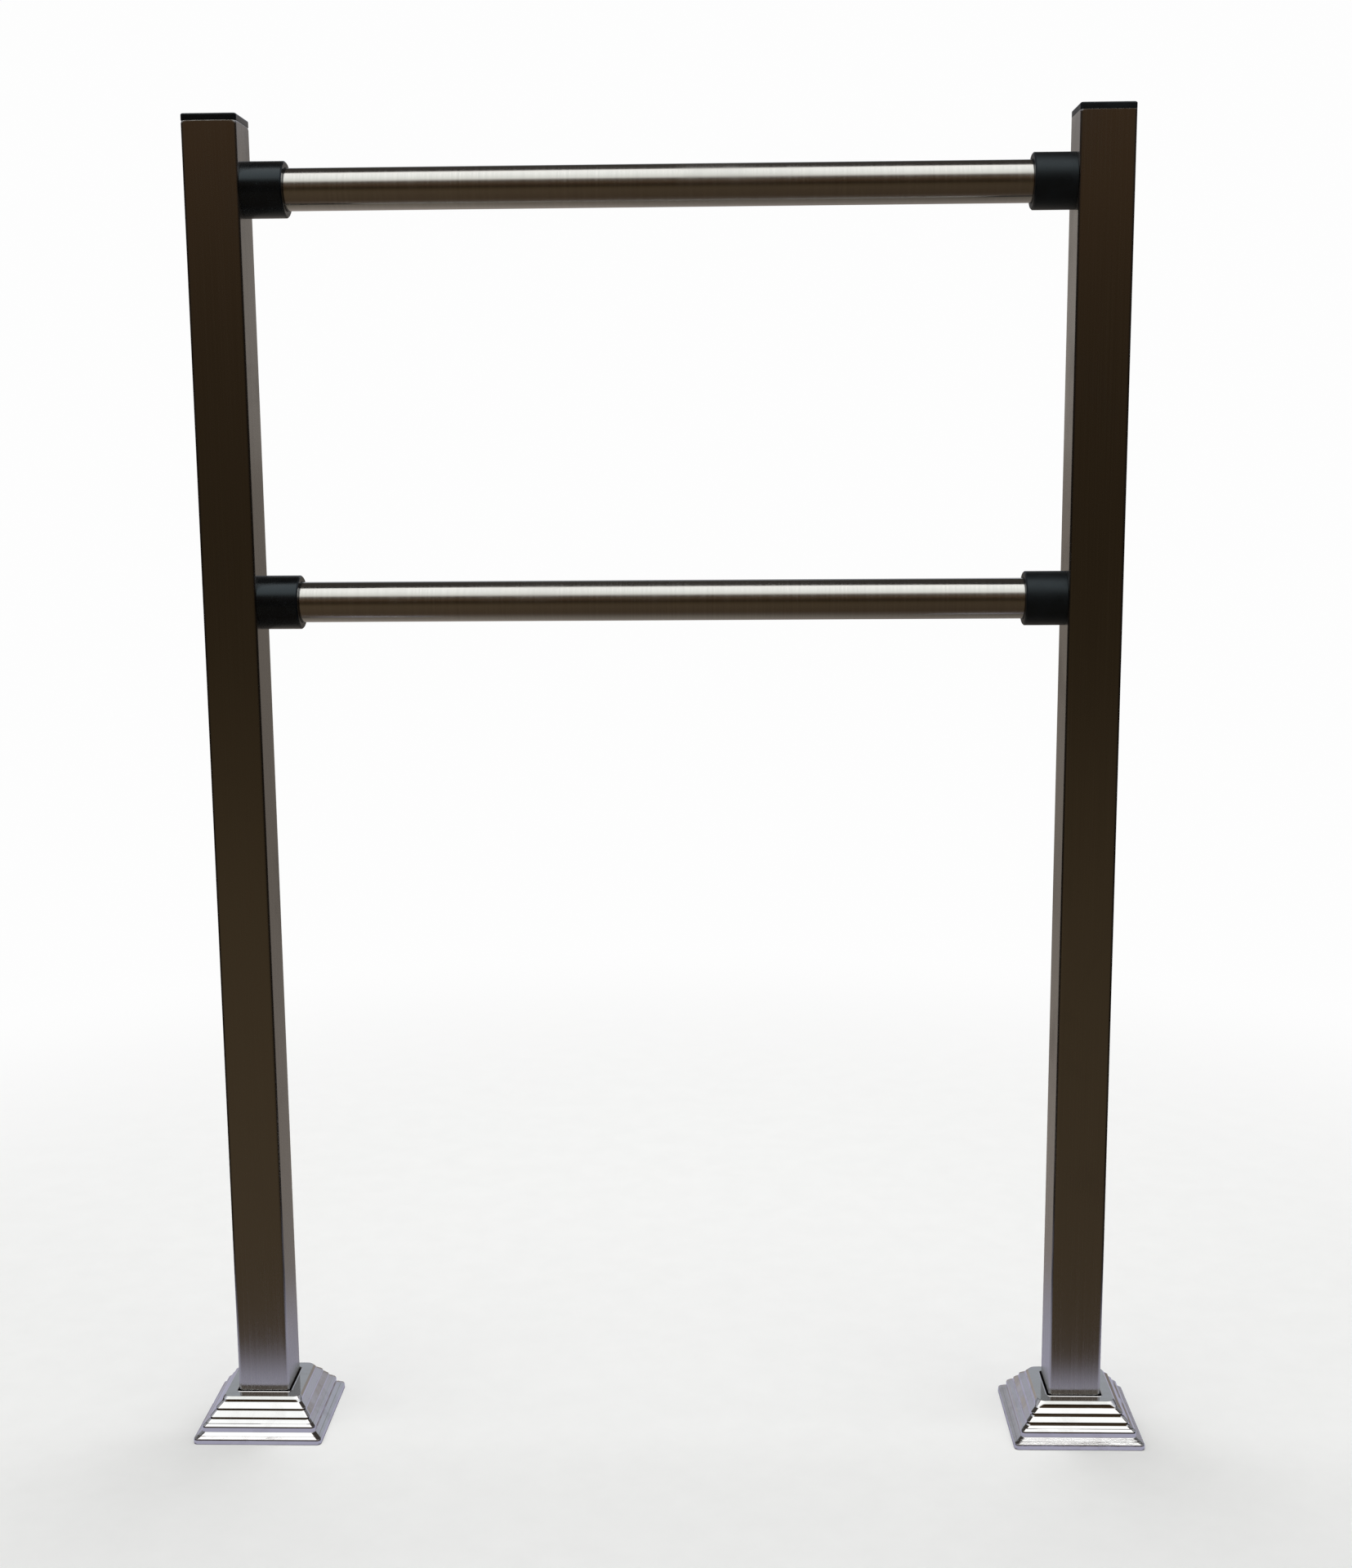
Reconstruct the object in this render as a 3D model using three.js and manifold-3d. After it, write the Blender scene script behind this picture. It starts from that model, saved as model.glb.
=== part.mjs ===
// Floor-standing pool handrail: two square posts, two round rails held in
// plastic sockets, and a stepped cover over each welded base plate.
// Millimetres, +Z up, +X along the rails. The origin is on the floor, midway
// between the posts. "Left" is the -X post, "right" is the +X post.
import * as THREE from 'three';
import { mergeVertices } from 'three/addons/utils/BufferGeometryUtils.js';
import Module from 'manifold-3d';

const wasm = await Module();
wasm.setup();

// ---- Driving dimensions ----
const TOTAL_HEIGHT = 1000;
const POST_SPACING = 637; // between the post centre lines
const UPPER_RAIL_Z = 949;
const LOWER_RAIL_Z = 651;

const POST = { width: 40, wall: 1.5, corner: 2.5 };
const RAIL = { diameter: 30, wall: 1.2 };
const SOCKET = { diameter: 40, length: 30, base: 5, chamfer: 1 };
const SCREW = { shank: 3.9, head: 7.6, headHeight: 2.4, length: 13, tip: 3, offset: 8 };
const RECESS = { long: 4.2, wide: 0.9, deep: 1.5 };
const CAP = { head: 5, round: 1.2 };
const CAP_STEM = { length: 20, width: 32, wall: 2.2, corner: 1, fin: 1.2, fins: 3 };
const PLATE = { width: 80, thickness: 6, corner: 3, holeDiameter: 9, holePitch: 62 };
const WELD = { leg: 4, toe: 0.5 }; // toe is its thickness at the top
const COVER = { wall: 0.8, corner: 3.5, opening: 42.5, openingCorner: 2, round: 2.3 };

// Steps of the base cover from the floor up. Each has an upright riser, from
// the step below up to riserTop, and then slopes in to the next step's foot.
// The last one rounds over, with radius COVER.round, into the flat top.
const COVER_STEPS = [
  { width: 100, riserTop: 4.4, slopeTop: 7.9 },
  { width: 88.8, riserTop: 12.4, slopeTop: 16.1 },
  { width: 79, riserTop: 17.9, slopeTop: 21.9 },
  { width: 71.2, riserTop: 23.6, slopeTop: 26.6 },
  { width: 62.6, riserTop: 28.2 },
];

const GAP = 0.3; // clearance between fitted pieces
const OVERCUT = 2; // how far a cutting tool runs past a face
const BITE = 0.5; // how far two bodies of one piece run into each other
const POST_TOP = TOTAL_HEIGHT - CAP.head;
const CORNER_STEPS = 2; // curveSegments of a rounded corner
const ROUND_STEPS = 16; // curveSegments of a round outline
const ROUND_OVER_STEPS = 3; // facets of a rounded edge

// ---- Materials ----
const brushedSteel = new THREE.MeshStandardMaterial({ color: 0x8c867f, roughness: 0.32, metalness: 1 });
const railSteel = new THREE.MeshStandardMaterial({ color: 0xb5aea6, roughness: 0.25, metalness: 1 });
const polishedSteel = new THREE.MeshStandardMaterial({ color: 0xd6d7de, roughness: 0.08, metalness: 1 });
const plateSteel = new THREE.MeshStandardMaterial({ color: 0x8e8f92, roughness: 0.5, metalness: 1 });
const weldSteel = new THREE.MeshStandardMaterial({ color: 0x6f665c, roughness: 0.55, metalness: 1 });
const zincSteel = new THREE.MeshStandardMaterial({ color: 0xb9bcc0, roughness: 0.35, metalness: 1 });
const blackPlastic = new THREE.MeshStandardMaterial({ color: 0x141518, roughness: 0.42, metalness: 0 });

// ---- Solids ----

// Closed three.js geometry to a solid that can be joined and cut
function toSolid(geometry) {
  const bare = geometry.clone();
  bare.deleteAttribute('normal');
  bare.deleteAttribute('uv');
  const merged = mergeVertices(bare);
  const triVerts = [];
  for (let i = 0; i < merged.index.count; i += 3) {
    const corners = [0, 1, 2].map((k) => merged.index.getX(i + k));
    // A lathe leaves empty triangles where its profile meets the axis
    if (new Set(corners).size === 3) triVerts.push(...corners);
  }
  return new wasm.Manifold(new wasm.Mesh({
    numProp: 3,
    vertProperties: merged.attributes.position.array,
    triVerts: new Uint32Array(triVerts),
  }));
}

function toGeometry(solid) {
  const { vertProperties, triVerts } = solid.getMesh();
  const geometry = new THREE.BufferGeometry();
  geometry.setAttribute('position', new THREE.BufferAttribute(vertProperties, 3));
  geometry.setIndex(new THREE.BufferAttribute(triVerts, 1));
  geometry.computeVertexNormals();
  return geometry;
}

function makeMesh(name, solid, material) {
  const mesh = new THREE.Mesh(toGeometry(solid), material);
  mesh.name = name;
  return mesh;
}

function joinAll(solids) {
  return solids.reduce((joined, solid) => joined.add(solid));
}

// ---- Outlines and simple bodies ----

function roundedSquare(width, corner) {
  const c = width / 2 - corner;
  const shape = new THREE.Shape();
  shape.absarc(c, c, corner, 0, Math.PI / 2);
  shape.absarc(-c, c, corner, Math.PI / 2, Math.PI);
  shape.absarc(-c, -c, corner, Math.PI, 1.5 * Math.PI);
  shape.absarc(c, -c, corner, 1.5 * Math.PI, 2 * Math.PI);
  shape.closePath();
  return shape;
}

// Upright prism of an outline between two heights
function prism(shape, bottom, top) {
  const geometry = new THREE.ExtrudeGeometry(shape, {
    depth: top - bottom,
    bevelEnabled: false,
    curveSegments: CORNER_STEPS,
  });
  geometry.translate(0, 0, bottom);
  return toSolid(geometry);
}

// Square block on z = 0 with its upper edges rounded over
function roundedBlock(width, corner, height, round) {
  const shape = roundedSquare(width - 2 * round, corner - round);
  const geometry = new THREE.ExtrudeGeometry(shape, {
    depth: height,
    bevelThickness: round,
    bevelSize: round,
    bevelSegments: ROUND_OVER_STEPS,
    curveSegments: CORNER_STEPS,
  });
  geometry.translate(0, 0, -round);
  const below = prism(roundedSquare(2 * width, corner), -2 * round - OVERCUT, 0);
  return toSolid(geometry).subtract(below);
}

// Cylinder along X from one x to another
function crossCylinder(diameter, x0, x1, z) {
  const geometry = new THREE.CylinderGeometry(diameter / 2, diameter / 2, x1 - x0, ROUND_STEPS);
  geometry.rotateZ(Math.PI / 2);
  geometry.translate((x0 + x1) / 2, 0, z);
  return toSolid(geometry);
}

// Solid of revolution about +Y, from points [radius, y]
function turned(points, segments) {
  const profile = points.map(([radius, y]) => new THREE.Vector2(radius, y));
  return toSolid(new THREE.LatheGeometry(profile, segments));
}

// Ring-shaped solid: a square counterpart of a lathe. Its section is the
// closed chain of square rings, listed up the outside and down the inside.
function ringSolid(rings) {
  const outlines = rings.map(({ half, corner, z }) => {
    const points = roundedSquare(2 * half, corner).getPoints(CORNER_STEPS);
    points.pop(); // the last point repeats the first
    return points.map(({ x, y }) => new THREE.Vector3(x, y, z));
  });
  const around = outlines[0].length;
  const index = [];
  for (let ring = 0; ring < rings.length; ring += 1) {
    const nextRing = (ring + 1) % rings.length;
    for (let point = 0; point < around; point += 1) {
      const nextPoint = (point + 1) % around;
      const a = ring * around + point;
      const b = ring * around + nextPoint;
      const c = nextRing * around + nextPoint;
      const d = nextRing * around + point;
      index.push(a, b, c, a, c, d);
    }
  }
  const geometry = new THREE.BufferGeometry().setFromPoints(outlines.flat());
  geometry.setIndex(index);
  return toSolid(geometry);
}

// ---- Sub-parts ----

// Square tube standing on its base plate; side is +1 where its rails lie
// towards +X and -1 where they lie towards -X
function makePost(side) {
  const shape = roundedSquare(POST.width, POST.corner);
  shape.holes.push(roundedSquare(POST.width - 2 * POST.wall, POST.corner - POST.wall));
  let post = prism(shape, PLATE.thickness, POST_TOP);
  for (const railZ of [LOWER_RAIL_Z, UPPER_RAIL_Z]) {
    for (const sign of [-1, 1]) {
      const inner = side * (POST.width / 2 - POST.wall - OVERCUT);
      const outer = side * (POST.width / 2 + OVERCUT);
      const ends = [inner, outer].sort((a, b) => a - b);
      const hole = crossCylinder(SCREW.shank + 2 * GAP, ...ends, railZ + sign * SCREW.offset);
      post = post.subtract(hole);
    }
  }
  return post;
}

// Plastic plug in the post's top: flush head, and a ribbed stem in the tube
function makeCap() {
  const head = roundedBlock(POST.width, POST.corner, CAP.head, CAP.round);
  const { length, width, wall, corner, fin } = CAP_STEM;
  const stemShape = roundedSquare(width, corner);
  stemShape.holes.push(roundedSquare(width - 2 * wall, corner));
  const finShape = roundedSquare(POST.width - 2 * POST.wall - 2 * GAP, POST.corner - POST.wall);
  finShape.holes.push(roundedSquare(width - wall, corner));
  const fins = [];
  for (let i = 1; i <= CAP_STEM.fins; i += 1) {
    const finTop = -i * (length - fin) / CAP_STEM.fins;
    fins.push(prism(finShape, finTop - fin, finTop));
  }
  return joinAll([head, prism(stemShape, -length, BITE), ...fins]);
}

// Cup that holds a rail end: back at y = 0, mouth at y = length
function makeSocket() {
  const outer = SOCKET.diameter / 2;
  const bore = RAIL.diameter / 2 + GAP;
  const cup = turned([
    [0, 0],
    [outer, 0],
    [outer, SOCKET.length - SOCKET.chamfer],
    [outer - SOCKET.chamfer, SOCKET.length],
    [bore, SOCKET.length],
    [bore, SOCKET.base],
    [0, SOCKET.base],
  ], 2 * ROUND_STEPS);
  const holes = [-1, 1].map((sign) => {
    const radius = SCREW.shank / 2 + GAP;
    const depth = SOCKET.base + 2 * OVERCUT;
    const hole = new THREE.CylinderGeometry(radius, radius, depth, ROUND_STEPS);
    hole.translate(0, SOCKET.base / 2, sign * SCREW.offset);
    return toSolid(hole);
  });
  return holes.reduce((socket, hole) => socket.subtract(hole), cup);
}

// Pan-head tapping screw: underside of the head at y = 0, tip towards -Y
function makeScrew() {
  const shank = SCREW.shank / 2;
  const head = SCREW.head / 2;
  const screw = turned([
    [0, -SCREW.length],
    [shank, SCREW.tip - SCREW.length],
    [shank, 0],
    [head, 0],
    [head, 0.4 * SCREW.headHeight],
    [0.8 * head, 0.8 * SCREW.headHeight],
    [0.45 * head, SCREW.headHeight],
    [0, SCREW.headHeight],
  ], 12);
  // Cross recess: one slot each way
  const { long, wide, deep } = RECESS;
  const slots = [[long, wide], [wide, long]].map(([sizeX, sizeZ]) => {
    const box = new THREE.BoxGeometry(sizeX, 2 * deep, sizeZ);
    box.translate(0, SCREW.headHeight, 0);
    return toSolid(box);
  });
  return slots.reduce((cut, tool) => cut.subtract(tool), screw);
}

// Round tube along +Z that runs from one socket's base to the other's
function makeRail() {
  const clear = POST_SPACING - POST.width;
  const length = clear - 2 * (GAP + SOCKET.base + GAP);
  const radius = RAIL.diameter / 2;
  const shape = new THREE.Shape().absarc(0, 0, radius, 0, 2 * Math.PI);
  shape.holes.push(new THREE.Path().absarc(0, 0, radius - RAIL.wall, 0, 2 * Math.PI));
  const geometry = new THREE.ExtrudeGeometry(shape, {
    depth: length,
    bevelEnabled: false,
    curveSegments: ROUND_STEPS,
  });
  geometry.translate(0, 0, -length / 2);
  return toSolid(geometry);
}

// Square plate under the post, with an anchor hole near each corner
function makePlate() {
  const shape = roundedSquare(PLATE.width, PLATE.corner);
  for (const sx of [-1, 1]) {
    for (const sy of [-1, 1]) {
      const hole = new THREE.Path();
      const radius = PLATE.holeDiameter / 2;
      hole.absarc(sx * PLATE.holePitch / 2, sy * PLATE.holePitch / 2, radius, 0, 2 * Math.PI);
      shape.holes.push(hole);
    }
  }
  const geometry = new THREE.ExtrudeGeometry(shape, {
    depth: PLATE.thickness,
    bevelEnabled: false,
    curveSegments: ROUND_STEPS / 2,
  });
  return toSolid(geometry);
}

// Fillet weld round the foot of the post
function makeWeld() {
  const ring = (offset, z) => ({
    half: POST.width / 2 + offset,
    corner: POST.corner + offset,
    z,
  });
  return ringSolid([
    ring(GAP + WELD.leg, 0),
    ring(GAP + WELD.toe, WELD.leg),
    ring(GAP, WELD.leg),
    ring(GAP, 0),
  ]);
}

// Square rings up one face of the cover, from its foot to the hole's edge.
// inset is 0 on the outer face and the wall's thickness on the inner face.
function coverFace(inset) {
  const corner = COVER.corner - inset;
  const rings = [];
  let foot = 0;
  for (const { width, riserTop, slopeTop } of COVER_STEPS) {
    const half = width / 2 - inset;
    rings.push({ half, corner, z: foot }, { half, corner, z: riserTop - inset });
    foot = slopeTop - inset;
  }
  const last = rings.at(-1);
  for (let i = 1; i <= ROUND_OVER_STEPS; i += 1) {
    const angle = i / ROUND_OVER_STEPS * Math.PI / 2;
    rings.push({
      half: last.half - COVER.round * (1 - Math.cos(angle)),
      corner,
      z: last.z + COVER.round * Math.sin(angle),
    });
  }
  const top = last.z + COVER.round;
  rings.push({ half: COVER.opening / 2, corner: COVER.openingCorner, z: top });
  return rings;
}

// Thin stepped shell over the base plate, open below, with a square hole
// that the post passes through
function makeCover() {
  return ringSolid([...coverFace(0), ...coverFace(COVER.wall).reverse()]);
}

// ---- Assembly ----

// One end of a rail: its socket on the post's inner face and the two screws
// that hold the socket's back to the post's wall
function makeRailEnd(name, side, railZ) {
  const end = new THREE.Group();
  end.position.set(-side * (POST_SPACING / 2 - POST.width / 2 - GAP), 0, railZ);
  end.rotation.z = -side * Math.PI / 2;
  end.add(makeMesh(`${name}_socket`, makeSocket(), blackPlastic));
  for (const [place, sign] of [['top', 1], ['bottom', -1]]) {
    const screw = makeMesh(`${name}_socket_screw_${place}`, makeScrew(), zincSteel);
    screw.position.set(0, SOCKET.base + GAP, sign * SCREW.offset);
    end.add(screw);
  }
  return end;
}

// One post with everything that stands on its centre line
function makePostAssembly(name, side) {
  const assembly = new THREE.Group();
  assembly.position.x = -side * POST_SPACING / 2;
  const cap = makeMesh(`${name}_post_cap`, makeCap(), blackPlastic);
  cap.position.z = POST_TOP;
  const weld = makeMesh(`${name}_foot_weld`, makeWeld(), weldSteel);
  weld.position.z = PLATE.thickness;
  assembly.add(
    makeMesh(`${name}_post`, makePost(side), brushedSteel),
    cap,
    makeMesh(`${name}_base_plate`, makePlate(), plateSteel),
    weld,
    makeMesh(`${name}_base_cover`, makeCover(), polishedSteel),
  );
  return assembly;
}

function makeRailMesh(name, railZ) {
  const rail = makeMesh(name, makeRail(), railSteel);
  rail.rotation.y = Math.PI / 2;
  rail.position.z = railZ;
  return rail;
}

const handrail = new THREE.Group();
handrail.add(makeRailMesh('upper_rail', UPPER_RAIL_Z), makeRailMesh('lower_rail', LOWER_RAIL_Z));
for (const [name, side] of [['left', 1], ['right', -1]]) {
  handrail.add(
    makePostAssembly(name, side),
    makeRailEnd(`upper_${name}`, side, UPPER_RAIL_Z),
    makeRailEnd(`lower_${name}`, side, LOWER_RAIL_Z),
  );
}

export default handrail;
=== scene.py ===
"""Looks of the pool handrail: two square posts, two round rails held in black
sockets, and a polished stepped cover over each welded base plate.

Metres, +Z up, +X along the rails, -Y towards the camera. Pieces are built where
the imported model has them, so an object's own coordinates are the row frame's.
"""

import math

import bmesh
import bpy
from mathutils import Matrix, Vector, noise


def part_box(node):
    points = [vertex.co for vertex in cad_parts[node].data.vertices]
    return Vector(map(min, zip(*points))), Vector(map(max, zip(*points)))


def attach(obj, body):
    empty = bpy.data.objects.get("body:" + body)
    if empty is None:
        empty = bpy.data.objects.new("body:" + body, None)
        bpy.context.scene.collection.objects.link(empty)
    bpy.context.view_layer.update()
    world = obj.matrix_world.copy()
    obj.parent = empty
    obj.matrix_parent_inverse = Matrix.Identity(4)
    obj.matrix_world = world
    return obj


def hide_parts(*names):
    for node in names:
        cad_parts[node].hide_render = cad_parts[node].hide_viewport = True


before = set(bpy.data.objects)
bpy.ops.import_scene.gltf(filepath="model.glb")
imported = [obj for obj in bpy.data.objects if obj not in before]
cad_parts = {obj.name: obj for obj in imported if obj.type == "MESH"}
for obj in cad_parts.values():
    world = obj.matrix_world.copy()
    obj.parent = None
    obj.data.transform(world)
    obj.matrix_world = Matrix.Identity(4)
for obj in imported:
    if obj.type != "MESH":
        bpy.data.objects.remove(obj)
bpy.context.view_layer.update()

MM = 0.001
SIDES = ("left", "right")
LEVELS = ("upper", "lower")

# ---- Sizes, in millimetres ----
POST_WALL, POST_CORNER = 1.5, 2.5
SAWN_EDGE, FILED_EDGE = 0.2, 0.06  # the rounding at a post's ends and at its worn edge
CAP_ROUND, CAP_SEAT = 1.2, 0.4
STEM_HALF, STEM_WALL, FIN_THICK, FIN_COUNT, FIN_ROUND = 16, 2.2, 1.2, 3, 0.4
RAIL_WALL, RAIL_EDGE = 1.2, 0.3
SOCKET_BASE, SOCKET_MOUTH, SOCKET_CLEARANCE = 5, 1.0, 0.3
SCREW_HOLE, SCREW_OFFSET = 4.5, 8
PLATE_CORNER, PLATE_EDGE = 3, 0.4
ANCHOR_HOLE, ANCHOR_PITCH = 9, 62
WELD_LEG, WELD_TOE, WELD_BULGE, WELD_RIPPLE, WELD_PITCH = 4, 0.5, 0.35, 0.16, 1.7
WELD_LAG = 0.25  # how far a ripple falls back for each millimetre up the bead
CHAMFER_HIGH, CHAMFER_DEEP, CHAMFER_DIP = 0.7, 0.27, 2.2  # the worn edge at a post's top
COVER_WALL, COVER_CORNER, OPENING_HALF, OPENING_CORNER = 0.8, 3.5, 21.25, 2
COVER_TOP, PLATEAU_HALF = 30.5, 29.6
LIP_HIGH, LIP_WIDE = 0.3, 0.4  # the bead round the opening
# Each step's half width, the top of its riser, how far the riser leans in over
# its height, and the top of the slope above it
COVER_STEPS = (
    (50, 4.3, 0, 7.6),
    (44.4, 12.0, 0, 15.9),
    (39.5, 17.5, 0.36, 21.3),
    (35.6, 22.9, 0.36, 26.4),
    (31.3, 28.3, 0.42, COVER_TOP - LIP_HIGH),
)
EDGE_HIGH, EDGE_DEEP = 1.0, 0.28  # an upright riser turns in over its last stretch
CREASE_DEPTH, CREASE_WIDTH, CREASE_AT = 0.17, 0.55, 0.42  # the last is a share of the slope
# How the two pressings differ: how far they are dented and by which draw of the
# noise, the rounding of the risers' tops and feet, the height of the steep strip
# under the upper risers, and the radius of the plateau's corners
COVER_LOOKS = {
    "left": (0.08, 3, 0.4, 0.25, 0, 5.5),
    "right": (0.14, 11, 0.5, 0.5, 0.9, 7),
}
DENT_SPAN, FINE_DENTS, DENT_LIFT = 14, 2.6, 0.6
FLAT_FOOT, LEVEL_BAND = 3, 1  # dents grow over the first, and leave the second level

# How finely the outlines are divided
RAIL_SEGMENTS, SOCKET_SEGMENTS, HOLE_SEGMENTS = 128, 96, 48
POST_SIDE_STEPS, COVER_SIDE_STEPS, WELD_SIDE_STEPS = 32, 36, 150
WELD_CORNER_STEPS, WELD_RISE_STEPS = 12, 8
SMOOTH_ANGLE = math.radians(40)

post_low, post_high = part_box("right_post")
POST_X = (post_low.x + post_high.x) / 2
POST_HALF = (post_high.x - post_low.x) / 2 / MM


# ---- Mesh building ----
def rounded_square(half, corner, corner_steps=8, side_steps=1):
    """Points anticlockwise round a square with rounded corners, in millimetres."""
    c = half - corner
    points = []
    for k, (sx, sy) in enumerate(((1, 1), (-1, 1), (-1, -1), (1, -1))):
        for i in range(corner_steps + 1):
            a = math.pi / 2 * (k + i / corner_steps)
            points.append((sx * c + corner * math.cos(a), sy * c + corner * math.sin(a)))
        a = math.pi / 2 * (k + 1)
        start = points[-1]
        nx, ny = ((-1, 1), (-1, -1), (1, -1), (1, 1))[k]
        end = (nx * c + corner * math.cos(a), ny * c + corner * math.sin(a))
        for i in range(1, side_steps):
            t = i / side_steps
            points.append((start[0] + (end[0] - start[0]) * t, start[1] + (end[1] - start[1]) * t))
    return points


def filleted(points, closed, steps=4):
    """A section's corner points (a, b, radius), with each corner turned to an arc."""
    out = []
    count = len(points)
    for i, (a, b, radius) in enumerate(points):
        here = Vector((a, b))
        if radius == 0 or (not closed and i in (0, count - 1)):
            out.append((a, b))
            continue
        before = Vector(points[i - 1][:2]) - here
        after = Vector(points[(i + 1) % count][:2]) - here
        turn = before.angle(after)
        reach = min(radius / math.tan(turn / 2), 0.48 * before.length, 0.48 * after.length)
        first, last = here + before.normalized() * reach, here + after.normalized() * reach
        true_radius = reach * math.tan(turn / 2)
        middle = here + (before.normalized() + after.normalized()).normalized() * (
            true_radius / math.sin(turn / 2)
        )
        u, v = first - middle, last - middle
        sweep = u.angle(v)
        for k in range(steps + 1):
            t = k / steps
            w = (u * math.sin((1 - t) * sweep) + v * math.sin(t * sweep)) / math.sin(sweep)
            out.append(tuple(middle + w))
    return out


def mesh_piece(name, rings, closed):
    """An object from rings of points in millimetres; an open chain of rings is capped."""
    bm = bmesh.new()
    loops = [[bm.verts.new((x * MM, y * MM, z * MM)) for x, y, z in ring] for ring in rings]
    around = len(loops[0])
    for i in range(len(loops) if closed else len(loops) - 1):
        near, far = loops[i], loops[(i + 1) % len(loops)]
        for j in range(around):
            k = (j + 1) % around
            bm.faces.new((near[j], near[k], far[k], far[j]))
    if not closed:
        bm.faces.new(loops[0][::-1])
        bm.faces.new(loops[-1])
    bmesh.ops.recalc_face_normals(bm, faces=bm.faces)
    mesh = bpy.data.meshes.new(name)
    bm.to_mesh(mesh)
    bm.free()
    piece = bpy.data.objects.new(name, mesh)
    bpy.context.scene.collection.objects.link(piece)
    return piece


def square_rings(section, corner_at, corner_steps=8, side_steps=1):
    """Square rings for a section of (half width, z) points."""
    return [
        [(x, y, z) for x, y in rounded_square(half, corner_at(half, z), corner_steps, side_steps)]
        for half, z in section
    ]


def round_rings(section, segments):
    """Rings about the X axis for a section of (radius, x) points."""
    angles = [2 * math.pi * i / segments for i in range(segments)]
    return [[(x, r * math.cos(a), r * math.sin(a)) for a in angles] for r, x in section]


def place(piece, x, y, z):
    """Puts the piece's own mesh in the row frame; x, y and z are in metres."""
    piece.data.transform(Matrix.Translation((x, y, z)))
    return piece


def cut(piece, tools):
    """Cuts the tools' shapes out of the piece."""
    for tool in tools:
        boolean = piece.modifiers.new("cut", "BOOLEAN")
        boolean.operation = "DIFFERENCE"
        boolean.solver = "EXACT"
        boolean.object = tool
    bpy.context.view_layer.update()
    evaluated = piece.evaluated_get(bpy.context.evaluated_depsgraph_get())
    mesh = bpy.data.meshes.new_from_object(evaluated)
    mesh.name = piece.name
    piece.modifiers.clear()
    piece.data = mesh
    for tool in tools:
        bpy.data.objects.remove(tool)
    return piece


def drill(diameter, depth, axis, at):
    """A cutting tool about X or Z, with a small countersink at both ends of its depth."""
    radius, flare = diameter / 2, 0.3
    section = [
        (radius + 2 * flare, -depth / 2 - flare),
        (radius, -depth / 2 + flare),
        (radius, depth / 2 - flare),
        (radius + 2 * flare, depth / 2 + flare),
    ]
    tool = mesh_piece("tool", round_rings(section, HOLE_SEGMENTS), closed=False)
    if axis == "Z":
        tool.data.transform(Matrix.Rotation(math.pi / 2, 4, "Y"))
    return place(tool, *at)


def finish_piece(piece, material, body, slot_name, *nodes):
    """Shading, material, body and the CAD nodes that the piece stands for; slot_name is not used."""
    for polygon in piece.data.polygons:
        polygon.use_smooth = True
    piece.data.set_sharp_from_angle(angle=SMOOTH_ANGLE)
    weighted = piece.modifiers.new("weighted_normals", "WEIGHTED_NORMAL")
    weighted.mode = "FACE_AREA"
    weighted.keep_sharp = True
    piece.data.materials.clear()
    piece.data.materials.append(material)
    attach(piece, body)
    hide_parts(*nodes)
    return piece


# ---- Node building ----
def add_node(tree, kind, inputs=None, **settings):
    node = tree.nodes.new(kind)
    for key, value in settings.items():
        setattr(node, key, value)
    for key, value in (inputs or {}).items():
        if isinstance(value, bpy.types.NodeSocket):
            tree.links.new(value, node.inputs[key])
        else:
            node.inputs[key].default_value = value
    return node


def linear(colour):
    """Linear RGBA of an sRGB colour in 0..255."""
    channels = [c / 255 for c in colour]
    return (
        *(c / 12.92 if c <= 0.04045 else ((c + 0.055) / 1.055) ** 2.4 for c in channels),
        1,
    )


def math_node(tree, operation, a, b=0.0):
    return add_node(tree, "ShaderNodeMath", {0: a, 1: b}, operation=operation).outputs[0]


def remap(tree, value, low, high, to_low, to_high, smooth=False):
    node = add_node(
        tree,
        "ShaderNodeMapRange",
        {
            "Value": value,
            "From Min": low,
            "From Max": high,
            "To Min": to_low,
            "To Max": to_high,
        },
        interpolation_type="SMOOTHSTEP" if smooth else "LINEAR",
    )
    return node.outputs["Result"]


def blend_colour(tree, factor, a, b, mode="MIX"):
    node = add_node(tree, "ShaderNodeMix", data_type="RGBA", blend_type=mode)
    for index, value in ((0, factor), (6, a), (7, b)):
        if isinstance(value, bpy.types.NodeSocket):
            tree.links.new(value, node.inputs[index])
        else:
            node.inputs[index].default_value = value
    return node.outputs[2]


def ramp(tree, value, stops):
    """A colour ramp with stops (position, linear RGBA)."""
    node = add_node(tree, "ShaderNodeValToRGB", {0: value})
    elements = node.color_ramp.elements
    elements[0].position, elements[0].color = stops[0]
    elements[1].position, elements[1].color = stops[-1]
    for position, colour in stops[1:-1]:
        elements.new(position).color = colour
    return node.outputs[0]


def noise_value(tree, vector, scale, detail=2.0, rough=0.5, distortion=0.0):
    node = add_node(
        tree,
        "ShaderNodeTexNoise",
        {
            "Vector": vector,
            "Scale": scale,
            "Detail": detail,
            "Roughness": rough,
            "Distortion": distortion,
        },
    )
    return node.outputs["Fac"]


def stretched(tree, vector, scale, rotation=(0, 0, 0)):
    node = add_node(
        tree, "ShaderNodeMapping", {"Vector": vector, "Scale": scale, "Rotation": rotation}
    )
    return node.outputs["Vector"]


def bump(tree, height, distance, strength=1.0, normal=None):
    inputs = {"Height": height, "Distance": distance, "Strength": strength}
    if normal is not None:
        inputs["Normal"] = normal
    return add_node(tree, "ShaderNodeBump", inputs).outputs["Normal"]


def empty_material(name):
    """A material with no nodes but its object coordinates."""
    material = bpy.data.materials.new(name)
    material.use_nodes = True
    tree = material.node_tree
    tree.nodes.clear()
    return material, tree, tree.nodes.new("ShaderNodeTexCoord").outputs["Object"]


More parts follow.
